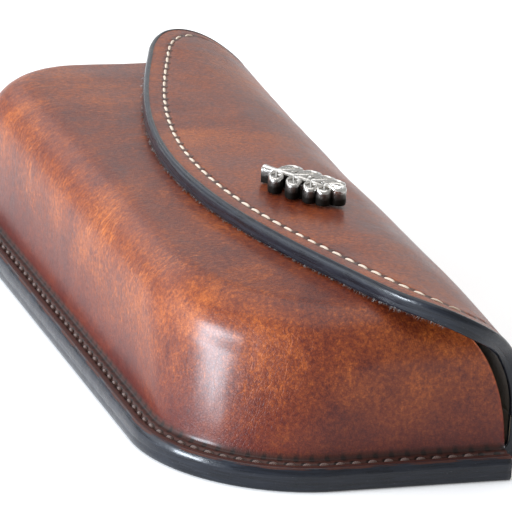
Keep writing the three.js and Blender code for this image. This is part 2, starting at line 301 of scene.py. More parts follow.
def wrap(x, run, depth):
    """The place of an unrolled point: across the case, along the leather, and under its face."""
    x, run, depth = np.broadcast_arrays(*(np.asarray(v, float) for v in (x, run, depth)))
    depth = depth - stand_off(x, run)
    x = x + WRAP_SHIFT
    bend = -math.pi / 2 + run / BEND_R
    arc = (run - WALL_RUN) / ARC_R
    places = [run < 0, run < BEND_RUN, run < WALL_RUN, run < ARC_RUN]
    y = np.select(places, [
        BEND_Y + run,
        BEND_Y + (BEND_R - depth) * np.cos(bend),
        SPINE_Y - depth,
        ARC_Y + (ARC_R - depth) * np.cos(arc),
    ], ARC_Y - (run - ARC_RUN))
    z = np.select(places, [
        depth,
        BEND_R + (BEND_R - depth) * np.sin(bend),
        BEND_R + run - BEND_RUN,
        ARC_Z + (ARC_R - depth) * np.sin(arc),
    ], FLAP_TOP - depth)
    return np.stack([x, y, z], -1)


def run_of(y):
    """The unrolled length at which the upper leather passes over a place in plan."""
    y = np.asarray(y, float)
    arc = np.arccos(np.clip((y - ARC_Y) / ARC_R, -1, 1))
    return np.where(y > ARC_Y, WALL_RUN + ARC_R * arc, ARC_RUN + ARC_Y - y)


def front_y(x):
    share = np.minimum(np.abs(x) / FLAP_HALF_X, 1)
    return FLAP_FRONT_Y + (FLAP_END_Y - FLAP_FRONT_Y) * (1.25 * share**2 - 0.25 * share**4)


def bezier(points, count):
    """Points on a Bezier curve, worked out by repeated mixing."""
    t = np.linspace(0, 1, count)[:, None]
    level = [np.asarray(p, float)[None, :] for p in points]
    while len(level) > 1:
        level = [a * (1 - t) + b * t for a, b in zip(level, level[1:])]
    return level[0]


def flap_edge():
    """The flap's edge unrolled, from the seam on the spine's -X side round to the +X side."""
    xs = np.linspace(0, FLAP_HALF_X * FLAP_CORNER, 90)
    front = np.column_stack([xs, run_of(front_y(xs))])
    onward = front[-1] + (front[-1] - front[-2]) * 12 / (xs[1] - xs[0])
    bulge = FLAP_HALF_X + 4.5
    corner = bezier([
        front[-1],
        onward,
        (bulge, WALL_RUN + 38),
        (bulge, WALL_RUN + 24),
        (SPINE_HALF_X + 4, WALL_RUN + 18),
        (SPINE_HALF_X, WALL_RUN + 14),
        (SPINE_HALF_X, WALL_RUN + 8),
    ], 90)
    right = np.vstack([front, corner[1:], [SPINE_HALF_X, SEAM_RUN]])
    left = right[:0:-1] * (-1, 1)
    return resample(np.vstack([left, right]), 0.85)[0]


def inward(edge):
    """Unit normals into the sheet, smoothed a little so that insets stay even."""
    way = np.gradient(edge, axis=0)
    for _ in range(3):
        way[1:-1] = (way[:-2] + 2 * way[1:-1] + way[2:]) / 4
    way /= np.linalg.norm(way, axis=1, keepdims=True)
    return np.column_stack([way[:, 1], -way[:, 0]])


FLAP_EDGE = flap_edge()
FLAP_IN = inward(FLAP_EDGE)
FLAP_EDGE_RUN = run_marks(FLAP_EDGE + FLAP_STITCH_INSET * FLAP_IN)


def flap_plan(insets, rows):
    """Unrolled rows of the flap: even insets from its edge, then fanned in to the seam."""
    seam_x = np.linspace(-SPINE_HALF_X + insets[-1], SPINE_HALF_X - insets[-1], len(FLAP_EDGE))
    seam = np.column_stack([seam_x, np.full(len(seam_x), SEAM_RUN)])
    rings = [FLAP_EDGE + inset * FLAP_IN for inset in insets]
    last = rings[-1]
    for share in np.linspace(0, 1, rows + 1)[1:]:
        rings.append(last * (1 - share) + seam * share)
    depths_in = list(insets) + [insets[-1] + 1] * rows
    return np.array(rings), np.array(depths_in)


def round_over(inset, radius):
    """How far a rounded edge has dropped at an inset from it."""
    reach = np.clip(radius - np.asarray(inset, float), 0, radius)
    return radius - np.sqrt(radius**2 - reach**2)


def blend_flap(obj):
    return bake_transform(obj)


def blend_spine(obj):
    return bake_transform(obj)


def flap_relief(plan, inset):
    """Depth changes of the flap's face: soft swells, the stitch groove and the press of the clasp."""
    x, run = plan[..., 0], plan[..., 1]
    flat = np.stack([x, run, np.zeros_like(x)], -1).reshape(-1, 3)
    swell = smooth_noise(flat, 30, 11).reshape(x.shape) * np.clip((inset - 1) / 8, 0, 1)[:, None]
    beat = 0.7 - 0.3 * np.cos(2 * math.pi * FLAP_EDGE_RUN / FLAP_PITCH)
    groove = np.exp(-(((inset - FLAP_STITCH_INSET) / 0.5) ** 2))[:, None] * beat[None, :]
    away = np.hypot(x + WRAP_SHIFT - CLASP[0], run - float(run_of(CLASP[1])))
    press = 0.35 * np.exp(-((away / 13) ** 2))
    return -0.12 * swell + 0.3 * groove + press


def flap_leather():
    insets = np.array([0, 0.06, 0.18, 0.35, 0.6, 0.9, 1.6, 2.4, 2.9, 3.25, 3.6, 4, 4.4, 4.75, 5.1, 5.8, 7])
    plan, inset = flap_plan(insets, 26)
    depth = round_over(inset, 0.9)[:, None] + flap_relief(plan, inset)
    x, run = plan[..., 0], plan[..., 1]
    outer = wrap(x, run, depth)
    inner = wrap(x, run, np.full_like(x, LEATHER))
    obj = thick_sheet("flap_leather_sheet", outer, inner, flip=True)
    grain = np.stack([x, run, np.zeros_like(x)], -1).reshape(-1, 3)
    cut = np.stack(np.broadcast_arrays(FLAP_EDGE_RUN[None, :], inset[:, None], 0.0), -1).reshape(-1, 3)
    under = grain + (0, 0, 4)
    give_vectors(obj, "grain", np.vstack([grain, under]))
    give_vectors(obj, "draw", np.vstack([grain, under]))
    give_vectors(obj, "cut", np.vstack([cut, cut + (0, 40, 0)]))
    obj.data.materials.append(MATERIALS["flap_leather"])
    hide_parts("flap_leather")
    return blend_flap(obj)


def flap_lining():
    plan, inset = flap_plan(np.array([0.12, 0.3, 0.7, 1.5, 3.5, 7]), 24)
    x, run = plan[..., 0], plan[..., 1]
    flat = np.stack([x, run, np.zeros_like(x)], -1).reshape(-1, 3)
    soft = 0.05 * smooth_noise(flat, 7, 21).reshape(x.shape)
    outer = wrap(x, run, np.full_like(x, LEATHER + 0.04))
    inner = wrap(x, run, SKIN - round_over(inset, 0.3)[:, None] - 0.05 + soft)
    obj = thick_sheet("flap_suede_sheet", outer, inner, flip=True)
    give_vectors(obj, "grain", np.vstack([flat, flat + (0, 0, 3)]))
    obj.data.materials.append(MATERIALS["suede"])
    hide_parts("flap_lining")
    return blend_flap(obj)


def strip_grid(depth, runs):
    xs = np.linspace(-SPINE_HALF_X, SPINE_HALF_X, 150)
    x, run = np.meshgrid(xs, runs)
    return x, run, wrap(x, run, depth)


def lower_strip(name, low, high, material, nodes):
    """The leather or lining from the back's panel round the bottom bend to the spine's seam."""
    runs = np.linspace(0, SEAM_RUN, 26)
    x, run, outer = strip_grid(low, runs)
    inner = strip_grid(high, runs)[2]
    obj = thick_sheet(name, outer, inner)
    grain = np.stack([x, run, np.zeros_like(x)], -1).reshape(-1, 3)
    give_vectors(obj, "grain", np.vstack([grain, grain + (0, 0, 4)]))
    give_vectors(obj, "cut", np.full((2 * len(grain), 3), 40.0))
    obj.data.materials.append(MATERIALS[material])
    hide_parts(*nodes)
    return blend_spine(obj)


def panel(name, low, high, inset, material, nodes):
    """The flat back, as rings drawn in from its edge until they meet at the mouth's side."""
    insets = np.concatenate([inset + np.array([0.1, 0.2, 0.4, 0.8]), np.linspace(2, 62.5, 26)])
    rings = [plan_loop(a, BEND_Y, 0.0, 20, 30, 60) for a in insets]
    top = np.array([np.column_stack([r, np.full(len(r), high)]) for r in rings])
    bottom = top.copy()
    bottom[..., 2] = low
    bottom[:4, :, 2] += np.array([0.9, 0.7, 0.45, 0.15])[:, None]
    obj = thick_sheet(name, top, bottom)
    flat = np.vstack([top.reshape(-1, 3), bottom.reshape(-1, 3)])
    give_vectors(obj, "grain", flat)
    give_vectors(obj, "cut", np.full((len(flat), 3), 40.0))
    obj.data.materials.append(MATERIALS[material])
    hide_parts(*nodes)
    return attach(obj, "base")


# ---- the shell's two layers ----
def shell_leather():
    grid = shell_grid(0)
    normals = grid_normals(grid)
    outer = grid + normals * shell_forms(grid)[..., None]
    inset = shell_profile(0)[:, 0]
    thick = np.interp(inset, [0, FLANGE_W - 0.4, FLANGE_W + 0.3], [1.2, 1.2, LEATHER + 0.1])
    inner = grid - normals * thick[:, None, None]
    inner[inset < FLANGE_W - 0.1, :, 2] = FLANGE_Z
    obj = thick_sheet("shell_leather_mould", outer, inner)
    run = run_marks(plan_loop(FLANGE_STITCH_INSET, BEND_Y))
    cut = np.stack(np.broadcast_arrays(run[None, :], inset[:, None], 0.0), -1).reshape(-1, 3)
    flat = grid.reshape(-1, 3)
    girth = run_marks(plan_loop(12, BEND_Y))
    down = run_marks(shell_profile(0)[:, :2])
    draw = np.stack(np.broadcast_arrays(girth[None, :], down[:, None], 0.0), -1).reshape(-1, 3)
    give_vectors(obj, "grain", np.vstack([flat, inner.reshape(-1, 3)]))
    give_vectors(obj, "draw", np.vstack([draw, draw]))
    give_vectors(obj, "cut", np.vstack([cut, cut + (0, 60, 0)]))
    obj.data.materials.append(MATERIALS["shell_leather"])
    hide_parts("shell_leather")
    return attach(obj, "base")


def shell_lining():
    grid = shell_grid(LEATHER + 0.3)
    normals = grid_normals(grid)
    flat = grid.reshape(-1, 3)
    nap = 0.04 * smooth_noise(flat, 6, 31).reshape(grid.shape[:2])
    inner = grid - normals * (0.75 + nap)[..., None]
    obj = thick_sheet("shell_suede_mould", grid + normals * 0.15, inner)
    give_vectors(obj, "grain", np.vstack([flat, flat + (0, 0, 3)]))
    obj.data.materials.append(MATERIALS["suede"])
    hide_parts("shell_lining")
    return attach(obj, "base")


# ---- painted edges ----
# Sections as [inset from the cut edge, depth under the face], closed, slightly proud of the edge.
FLAP_PAINT = np.array([
    [1.02, 0.05], [0.86, -0.1], [0.6, -0.1], [0.34, 0.0], [0.12, 0.2], [-0.03, 0.5],
    [-0.11, 0.85], [-0.13, 1.2], [-0.11, 1.55], [-0.08, 1.74], [-0.06, 1.84], [-0.07, 1.95],
    [-0.08, 2.15], [-0.1, 2.45], [-0.04, 2.75], [0.12, 2.98], [0.42, 3.06], [0.75, 3.0],
    [0.75, 2.5], [0.75, 0.9], [0.98, 0.6],
])
BASE_PAINT = np.array([
    [0.95, 0.12], [0.8, 0.02], [0.62, 0.08], [0.42, 0.24], [0.24, 0.5], [0.08, 0.85],
    [-0.06, 1.2], [-0.13, 1.5], [-0.14, 1.75], [-0.13, 2.0], [-0.13, 2.3], [-0.1, 2.55],
    [-0.06, 2.75], [-0.1, 2.95], [-0.14, 3.4], [-0.1, 3.85], [0.02, 4.2], [0.2, 4.45],
    [0.45, 4.58], [0.8, 4.6], [0.8, 4.0], [0.8, 1.2], [0.9, 0.8],
])


def paint_band(name, section, place, runs, material, blend=None):
    """A closed section carried along an edge; place(inset, depth) gives its line of points."""
    lines = np.array([place(inset, depth) for inset, depth in section])
    wobble = 0.03 + 0.03 * np.sin(runs * 0.42) + 0.02 * np.sin(runs * 1.13 + 1)
    lines[3:15] += wobble[None, :, None] * (lines[3:15] - lines[-2]) * 0.6
    points = lines.transpose(1, 0, 2).reshape(-1, 3)
    obj = new_object(name, points, closed_band(len(section), lines.shape[1]))
    around = np.cumsum(np.r_[0, np.linalg.norm(np.diff(section, axis=0), axis=1)])
    grain = np.stack(np.broadcast_arrays(runs[:, None], around[None, :], 0.0), -1).reshape(-1, 3)
    give_vectors(obj, "grain", grain)
    obj.data.materials.append(MATERIALS[material])
    return blend(obj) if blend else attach(obj, "base")


def flap_paint():
    def place(inset, depth):
        line = FLAP_EDGE + inset * FLAP_IN
        return wrap(line[:, 0], line[:, 1], depth)

    runs = run_marks(FLAP_EDGE)
    return paint_band("flap_edge_paint", FLAP_PAINT, place, runs, "edge_paint", blend_flap)


def base_paint():
    def place(inset, depth):
        loop = plan_loop(max(inset, 0), BEND_Y)
        if inset < 0:
            loop = loop + (loop - plan_loop(1, BEND_Y)) * -inset
        return np.column_stack([loop, np.full(len(loop), FLANGE_TOP - depth)])

    runs = run_marks(plan_loop(0, BEND_Y))
    return paint_band("base_edge_paint", BASE_PAINT, place, runs, "edge_paint")


def spine_paint(side, name):
    """The painted cut ends of the lower leather strip, each side of the spine."""
    run = np.linspace(SEAM_RUN, 0.1, 24)

    def place(inset, depth):
        return wrap(side * (SPINE_HALF_X - inset), run, depth)[::side]

    return paint_band(name, FLAP_PAINT, place, run[::side], "edge_paint", blend_spine)


# ---- stitches ----
def stitch_shape(length, width, sides=8, rows=9):
    """One stitch lying along X: a soft bead that dives into its holes at both ends."""
    t = np.linspace(0, 1, rows)
    height = 0.5 * width * np.sin(math.pi * t) ** 0.35 - 0.34 * width
    radius = width / 2 * (0.72 + 0.28 * np.sin(math.pi * t))
    angle = np.linspace(0, 2 * math.pi, sides, endpoint=False)
    x = np.repeat((t - 0.5) * length, sides)
    y = (radius[:, None] * np.cos(angle)).ravel()
    z = (height[:, None] + 0.8 * radius[:, None] * np.sin(angle)).ravel()
    twist = np.stack([x, np.tile(angle, rows), np.zeros(sides * rows)], 1)
    return np.stack([x, y, z], 1), twist, closed_band(sides, rows)


def stitches(name, marks, place, length, width, slant, seed, material, node):
    """Separate stitches, one at each mark; place(mark) gives point, way along, and way up."""
    rng = np.random.default_rng(seed)
    verts, twists, faces = [], [], []
    for mark in marks:
        shape, twist, shape_faces = stitch_shape(length * rng.uniform(0.93, 1.05), width)
        point, way, up = place(mark)
        side = np.cross(up, way)
        turn = math.radians(slant + rng.uniform(-4, 4))
        along = way * math.cos(turn) + side * math.sin(turn)
        across = np.cross(up, along)
        lift = rng.uniform(-0.03, 0.05)
        start = len(verts) * len(shape)
        place_at = point + up * lift
        verts.append(place_at + shape @ np.array([along, across, up]))
        twists.append(twist + (mark, 0, 0))
        faces += [tuple(start + i for i in face) for face in shape_faces]
    obj = new_object(name, np.vstack(verts), faces)
    give_vectors(obj, "grain", np.vstack(twists))
    obj.data.materials.append(MATERIALS[material])
    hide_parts(node)
    return obj


def unit(v):
    return v / np.linalg.norm(v)


def flap_stitches():
    line = FLAP_EDGE + FLAP_STITCH_INSET * FLAP_IN
    inside = np.flatnonzero(line[:, 1] > float(run_of(FLAP_STITCH_END_Y)))
    first = math.ceil(FLAP_EDGE_RUN[inside[0]] / FLAP_PITCH)
    last = math.floor(FLAP_EDGE_RUN[inside[-1]] / FLAP_PITCH)

    def flat(mark):
        return [np.interp(mark, FLAP_EDGE_RUN, line[:, k]) for k in (0, 1)]

    def place(mark):
        here = wrap(*flat(mark), 0.2)
        way = unit(wrap(*flat(mark + 0.5), 0.2) - wrap(*flat(mark - 0.5), 0.2))
        up = unit(wrap(*flat(mark), 0) - wrap(*flat(mark), 1))
        return here, way, up

    marks = (np.arange(first, last) + 0.5) * FLAP_PITCH
    obj = stitches(
        "flap_stitches", marks, place, 2.5, 0.6, 5, 3, "cream_thread", "flap_thread"
    )
    return blend_flap(obj)


def flange_stitches():
    line = plan_loop(FLANGE_STITCH_INSET, BEND_Y - 2)
    run = run_marks(line)

    def flat(mark):
        return np.array([*(np.interp(mark, run, line[:, k]) for k in (0, 1)), FLANGE_TOP - 0.3])

    def place(mark):
        return flat(mark), unit(flat(mark + 0.5) - flat(mark - 0.5)), np.array([0, 0, 1.0])

    marks = (np.arange(1, math.floor(run[-1] / FLANGE_PITCH) - 1) + 0.5) * FLANGE_PITCH
    obj = stitches(
        "flange_stitches", marks, place, 1.7, 0.8, -6, 9, "brown_thread", "flange_thread"
    )
    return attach(obj, "base")


# ---- loose suede fibres under the flap's edge ----
def flap_fuzz():
    rng = np.random.default_rng(12)
    verts, faces = [], []
    usable = np.flatnonzero(FLAP_EDGE[:, 1] > float(run_of(FIBRE_END_Y)))
    for _ in range(FIBRES):
        i = int(rng.choice(usable[2:-2]))
        inset = rng.uniform(0.05, 0.6)
        flat = FLAP_EDGE[i] + inset * FLAP_IN[i] + rng.uniform(-0.4, 0.4, 2)
        root = wrap(*flat, SKIN - 0.1)
        out = wrap(*(flat - FLAP_IN[i]), SKIN - 0.1) - root
        down = wrap(*flat, SKIN + 0.9) - root
        way = unit(out * rng.uniform(0.1, 0.9) + down * rng.uniform(0.3, 1) + rng.normal(0, 0.35, 3))
        length = rng.uniform(0.3, 1.1)
        side = unit(np.cross(way, rng.normal(size=3)))
        third = np.cross(way, side)
        thick = rng.uniform(0.03, 0.07)
        ring = [root + thick * (side * math.cos(a) + third * math.sin(a)) for a in (0, 2.1, 4.2)]
        start = len(verts)
        verts += ring + [root + way * length]
        tip = start + 3
        faces += [(start, start + 1, tip), (start + 1, start + 2, tip), (start + 2, start, tip)]
        faces.append((start + 2, start + 1, start))
    obj = new_object("flap_suede_fibres", verts, faces)
    give_vectors(obj, "grain", np.array(verts))
    obj.data.materials.append(MATERIALS["fibre"])
    return blend_flap(obj)


# ---- the steel disc in the shell ----
def keeper_disc(sides=48):
    turn = np.arange(sides) * 2 * math.pi / sides
    x = CLASP[0] + KEEPER_R * np.cos(turn)
    y = CLASP[1] - KEEPER_BACK + KEEPER_R * np.sin(turn)
    points = np.vstack([np.column_stack([x, y, np.full(sides, z)]) for z in (KEEPER_LOW, KEEPER_HIGH)])
    faces = [(i, (i + 1) % sides, sides + (i + 1) % sides, sides + i) for i in range(sides)]
    faces += [tuple(range(sides))[::-1], tuple(range(sides, 2 * sides))]
    obj = new_object("keeper_disc", points, faces)
    obj.data.materials.append(MATERIALS["steel"])
    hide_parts("shell_keeper_disc")
    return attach(obj, "base")


# ---- the metal sprig ----
def leaf_outline(length, width, count=30):
    t = np.linspace(0, 2 * math.pi, count, endpoint=False)
    along = 0.5 - 0.5 * np.cos(t)
    side = np.sin(t) * (1 - 0.25 * np.cos(t))
    point = np.abs(side) ** 1.15 * np.sign(side)
    return np.stack([along * length, point * width / 2], 1)


def leaf_form(length, width, top):
    """A cast leaf: upright sides, a bright rolled rim, a sunk face and a raised rib."""
    outline = leaf_outline(length, width)
    middle = np.array([length * 0.47, 0.0])
    rib = outline * (1, 0.12)
    levels = [
        (0.98, 0, 0.0), (1.04, 0, 0.35), (1.02, 0, top - 0.75), (1.03, 0, top - 0.4),
        (0.95, 0, top - 0.12), (0.84, 0, top), (0.72, 0, top - 0.1), (0.6, 0, top - 0.55),
        (0.45, 0.15, top - 0.6), (0.4, 0.75, top - 0.5), (0.38, 1, top - 0.08),
    ]
    rings = []
    for scale, rib_share, z in levels:
        flat = middle + (outline - middle) * scale
        narrow = middle + (rib - middle) * 0.8
        flat = flat * (1 - rib_share) + narrow * rib_share
        bow = 0.25 * np.sin(math.pi * np.clip(flat[:, 0] / length, 0, 1)) * (z > 0.5)
        rings.append(np.column_stack([flat, z + bow]))
    count = len(outline)
    verts = np.vstack(rings)
    faces = []
    for r in range(len(rings) - 1):
        for i in range(count):
            a, b = r * count + i, r * count + (i + 1) % count
            faces.append((a, b, b + count, a + count))
    faces.append(tuple(range(count))[::-1])
    faces.append(tuple((len(rings) - 1) * count + i for i in range(count)))
    return verts, faces


def stem_form(length, top):
    """The sprig's stem: a tapered rod on a low web, thicker at its cut end."""
    rows, sides = 16, 12
    t = np.linspace(0, 1, rows)
    radius = 0.85 - 0.4 * t + 0.18 * np.exp(-((t / 0.07) ** 2))
    bend = 0.5 * np.sin(t * math.pi * 1.2)
    angle = np.linspace(0, 2 * math.pi, sides, endpoint=False)
    x = np.repeat((t - 0.5) * length, sides)
    y = (bend[:, None] + radius[:, None] * np.cos(angle)).ravel()
    z = (top - 0.9 + radius[:, None] * np.sin(angle)).ravel()
    z = np.where(np.tile(np.sin(angle), rows) < -0.4, 0.05, z)
    return np.stack([x, y, z], 1), closed_band(sides, rows)


def berry_form(radius, at, low):
    """A small round fruit on a short neck."""
    rows, sides = 9, 14
    angle = np.linspace(0, 2 * math.pi, sides, endpoint=False)
    lift = np.linspace(-0.45 * math.pi, 0.49 * math.pi, rows)
    rings = [(radius * 0.7, low)]
    rings += [(radius * math.cos(a), at[2] + radius * math.sin(a)) for a in lift]
    verts = [(at[0] + r * math.cos(a), at[1] + r * math.sin(a), z) for r, z in rings for a in angle]
    return np.array(verts), closed_band(sides, len(rings))


def turned(points, angle):
    """Points turned about the upright axis."""
    c, s = math.cos(angle), math.sin(angle)
    return points @ np.array([[c, s, 0], [-s, c, 0], [0, 0, 1]])


def ornament():
    low = FLAP_TOP + 0.12
    top = ORNAMENT_T + 0.1
    forms = []
    leaves = [(0.3, 0.0, 4.3, 2.9, 1.0)]
    for k, at in enumerate((-0.34, -0.12, 0.1, 0.27)):
        size = (5.3, 5.6, 5.0, 4.2)[k]
        leaves += [(at, 0.95, size, 2.7, 0.96), (at, -0.95, size, 2.7, 0.9)]
    for at, turn, size, width, height in leaves:
        verts, faces = leaf_form(size, width, top * height)
        forms.append((turned(verts, turn) + (at * ORNAMENT_LENGTH, 0, 0), faces))
    verts, faces = stem_form(ORNAMENT_LENGTH * 0.86, top)
    forms.append((verts - (ORNAMENT_LENGTH * 0.06, 0, 0), faces))
    for at, side in ((-0.2, 1.7), (-0.22, -1.7), (0.03, 1.6), (0.02, -1.7), (0.22, 1.3), (0.21, -1.35)):
        forms.append(berry_form(0.62, (at * ORNAMENT_LENGTH, side, top * 0.78), 0.1))
    forms.append(berry_form(2.3, (-0.02 * ORNAMENT_LENGTH, 0, -0.75), 0.0))
    points, faces = [], []
    count = 0
    for verts, form_faces in forms:
        points.append(verts)
        faces += [tuple(count + i for i in face) for face in form_faces]
        count += len(verts)
    points = np.vstack(points)
    placed = turned(points, ORNAMENT_TURN) + (*CLASP, low)
    obj = new_object("ornament_sprig", placed, faces)
    give_vectors(obj, "grain", points)
    give_numbers(obj, "height", points[:, 2] / top)
    obj.data.materials.append(MATERIALS["aged_silver"])
    split = obj.modifiers.new("sharp corners", "EDGE_SPLIT")
    split.split_angle = math.radians(50)
    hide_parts("ornament")
    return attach(obj, "flap")


# ---- materials ----
class Nodes:
    """A short way to write shader nodes."""

    def __init__(self, name):
        self.material = bpy.data.materials.new(name)
        self.material.use_nodes = True
        self.tree = self.material.node_tree
        self.shader = self.tree.nodes["Principled BSDF"]

    def add(self, kind, settings=None, **inputs):
        node = self.tree.nodes.new("ShaderNode" + kind)
        for key, value in (settings or {}).items():
            setattr(node, key, value)
        for key, value in inputs.items():
            self.put(node, key, value)
        return node

    def put(self, node, key, value):
        name = key.replace("_", " ")
        socket = node.inputs[int(name[1:])] if name[1:].isdigit() else node.inputs[name]
        if isinstance(value, bpy.types.NodeSocket):
            self.tree.links.new(value, socket)
        else:
            socket.default_value = value

    def attribute(self, name, output="Vector"):
        return self.add("Attribute", {"attribute_name": name}).outputs[output]

    def stretch(self, vector, scale, turn=(0, 0, 0)):
        return self.add("Mapping", Vector=vector, Scale=scale, Rotation=turn).outputs["Vector"]

    def noise(self, vector, scale, detail=3.0, rough=0.5, bend=0.0):
        node = self.add(
            "TexNoise", Vector=vector, Scale=scale, Detail=detail, Roughness=rough, Distortion=bend
        )
        return node.outputs["Fac"]

    def cells(self, vector, scale, feature="DISTANCE_TO_EDGE"):
        node = self.add("TexVoronoi", {"feature": feature}, Vector=vector, Scale=scale)
        return node.outputs["Distance"]

    def math(self, operation, a, b=0.0, clamp=False):
        return self.add("Math", {"operation": operation, "use_clamp": clamp}, _0=a, _1=b).outputs[0]

    def spread(self, value, low, high, to_low=0.0, to_high=1.0):
        node = self.add("MapRange", None, _0=value, _1=low, _2=high, _3=to_low, _4=to_high)
        return node.outputs[0]

    def ramp(self, value, stops):
        node = self.add("ValToRGB", Fac=value)
        steps = node.color_ramp.elements
        while len(steps) < len(stops):
            steps.new(0.5)
        for step, (at, colour) in zip(steps, stops):
            step.position = at
            step.color = (*colour, 1)
        return node.outputs["Color"]

    def mix(self, share, a, b, blend="MIX"):
        node = self.add("Mix", {"data_type": "RGBA", "blend_type": blend})
        for index, value in ((0, share), (6, a), (7, b)):
            if isinstance(value, bpy.types.NodeSocket):
                self.tree.links.new(value, node.inputs[index])
            else:
                node.inputs[index].default_value = value if index == 0 else (*value, 1)
        return node.outputs[2]

    def parts(self, vector):
        return self.add("SeparateXYZ", Vector=vector).outputs

    def bump(self, height, distance, normal=None, strength=1.0):
        node = self.add("Bump", Height=height, Distance=distance, Strength=strength)
        if normal is not None:
            self.tree.links.new(normal, node.inputs["Normal"])
        return node.outputs["Normal"]

    def finish(self, **sockets):
        for key, value in sockets.items():
            self.put(self.shader, key, value)
        return self.material


LEATHER_TONES = [
    (0.18, (0.038, 0.006, 0.005)),
    (0.36, (0.095, 0.014, 0.007)),
    (0.52, (0.185, 0.035, 0.010)),
    (0.66, (0.310, 0.070, 0.013)),
    (0.84, (0.500, 0.135, 0.026)),
]


def mark_distance(n, pitch, inset, shift=0.0):
    """How far a point lies from the nearest of a row of marks, and from the row itself."""
    run, at, _ = n.parts(n.attribute("cut"))
    wave = n.math("FRACT", n.math("ADD", n.math("DIVIDE", run, pitch), shift))
    along = n.math("MULTIPLY", n.math("MINIMUM", wave, n.math("SUBTRACT", 1.0, wave)), pitch)
    across = n.math("ABSOLUTE", n.math("SUBTRACT", at, inset))
    away = n.math("SQRT", n.math("ADD", n.math("POWER", along, 2.0), n.math("POWER", across, 2.0)))
    return away, across


def stitch_holes(n, pitch, inset):
    """Round holes, one between every two stitches, darkened with painted shade, and the shade of the groove.
    """
    away, across = mark_distance(n, pitch, inset)
    return n.spread(away, 0.85, 0.5), n.spread(across, 0.75, 0.2)


def crease_shade(n, pitch, inset):
    """Painted shade where the moulded wall meets the flange: a fainter row of dark dots and a dark line along
    the crease.
    """
    away, across = mark_distance(n, pitch, inset, 0.5)
    return n.math("MAXIMUM", n.spread(away, 0.8, 0.4), n.spread(across, 0.5, 0.1, 0.0, 0.5))


def cloudy_tone(n, grain, draw, mottle, shade):
    """The leather's lightness: broad clouds, mottling, drawn fibres and fine specks."""
    clouds = n.noise(grain, 0.032, 3.0, 0.5, 1.0)
    fibres = n.noise(n.stretch(draw, (1, 0.25, 1)), 1.6, 5.0, 0.66, 0.7)
    specks = n.noise(n.stretch(grain, (1, 0.8, 0.8)), 1.5, 4.0, 0.75, 0.4)
    tone = shade
    for layer, share in ((clouds, 0.6), (mottle, 0.42), (fibres, 0.16), (specks, 0.8)):
        tone = n.math("ADD", tone, n.math("MULTIPLY", n.math("SUBTRACT", layer, 0.5), share))
    return tone


def shell_painted_light_and_shade(n, grain, tone):
    """Painted shade and light on the shell: darker low on its walls and on its top, lighter at its +X end."""
    side, _, height = n.parts(grain)
    tone = n.math("ADD", tone, n.spread(height, 6.0, 26.0, -0.17, 0.04))
    tone = n.math("ADD", tone, n.spread(height, 28.0, 31.0, 0.0, -0.06))
    return n.math("ADD", tone, n.spread(side, 66.0, 78.0, 0.0, 0.05))


def fold_patches(n, grain, moulded):
    """Where folds show: in patches, on the shell mostly high up and away from the mouth."""
    patch = n.spread(n.noise(grain, 0.045, 2.0), 0.40, 0.60)
    if not moulded:
        return n.math("MULTIPLY", patch, 0.2)
    _, deep, height = n.parts(grain)
    patch = n.math("MULTIPLY", patch, n.spread(deep, 2.0, -12.0, 0.15, 1.0))
    return n.math("MULTIPLY", patch, n.spread(height, 10.0, 18.0, 0.2, 1.0))


def fold_lines(n, draw, patch):
    """Thin pale folds, long ones down the form and shorter ones at a slant to them."""
    long_folds = n.noise(n.stretch(draw, (1, 0.28, 1), (0, 0, 0.15)), 0.34, 2.0, 0.5, 1.2)
    short_folds = n.noise(n.stretch(draw, (1, 0.6, 1), (0, 0, -0.6)), 0.7, 3.0, 0.5, 0.8)
    ridge = n.math("ABSOLUTE", n.math("SUBTRACT", long_folds, 0.5))
    cross = n.math("ABSOLUTE", n.math("SUBTRACT", short_folds, 0.5))
    ridge = n.math("MAXIMUM", n.spread(ridge, 0.022, 0.0), n.spread(cross, 0.03, 0.0, 0.0, 0.7))
    return n.math("MULTIPLY", ridge, patch)


def leather_relief(n, draw, pores, hole, lines, pebbles):
    normal = n.bump(n.math("MULTIPLY", hole, -1.0), 0.0004)
    normal = n.bump(n.noise(n.stretch(draw, (1, 0.5, 1)), 0.4, 3.0, 0.5, 1.0), 0.00018, normal, 0.5)
    normal = n.bump(lines, -0.0001, normal, 0.7)
    normal = n.bump(n.spread(pebbles, 0.0, 0.16), 0.00005, normal, 0.55)
    return n.bump(pores, 0.00006, normal, 0.5)


